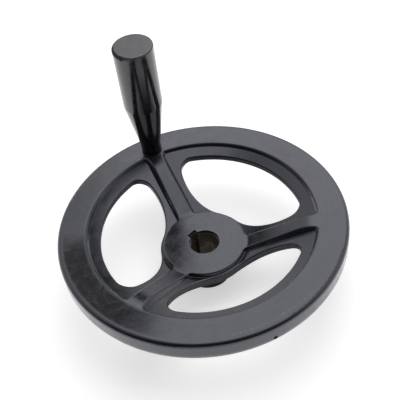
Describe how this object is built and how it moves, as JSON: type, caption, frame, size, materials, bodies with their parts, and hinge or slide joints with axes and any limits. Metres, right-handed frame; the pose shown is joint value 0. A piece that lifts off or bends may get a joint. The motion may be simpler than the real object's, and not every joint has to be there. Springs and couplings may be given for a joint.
{
  "type": "machine handwheel",
  "caption": "Dished spoked handwheel of moulded plastic with a keyed steel hub bush and a revolving cylindrical grip standing on the rim.",
  "frame": {"origin": "on the bore's axis, at the back face of the hub", "axes": "+Z along the bore from the back face towards the grip; +Y along the spoke that carries the grip"},
  "size_m": [0.2, 0.2002, 0.1469],
  "materials": {
    "wheel_plastic": "black thermoset moulding with a soft gloss, a worn dull patch on the rim's top",
    "grip_plastic": "black thermoset moulding, polished",
    "bush_steel": "machined steel, oiled, lightly brown with age",
    "spindle_steel": "turned bright steel"
  },
  "bodies": {
    "wheel": {"wheel_body": "wheel_plastic", "hub_bush": "bush_steel", "handle_insert": "spindle_steel", "handle_spindle": "spindle_steel", "spindle_washer": "spindle_steel", "retaining_ring": "spindle_steel"},
    "grip": {"grip": "grip_plastic", "end_cap": "grip_plastic"}
  },
  "joints": [
    {"name": "grip_spin", "type": "hinge", "parent": "wheel", "child": "grip", "pos_m": [0.0015, 0.08599, 0.0528], "axis": [0, 0, 1], "continuous": true}
  ]
}
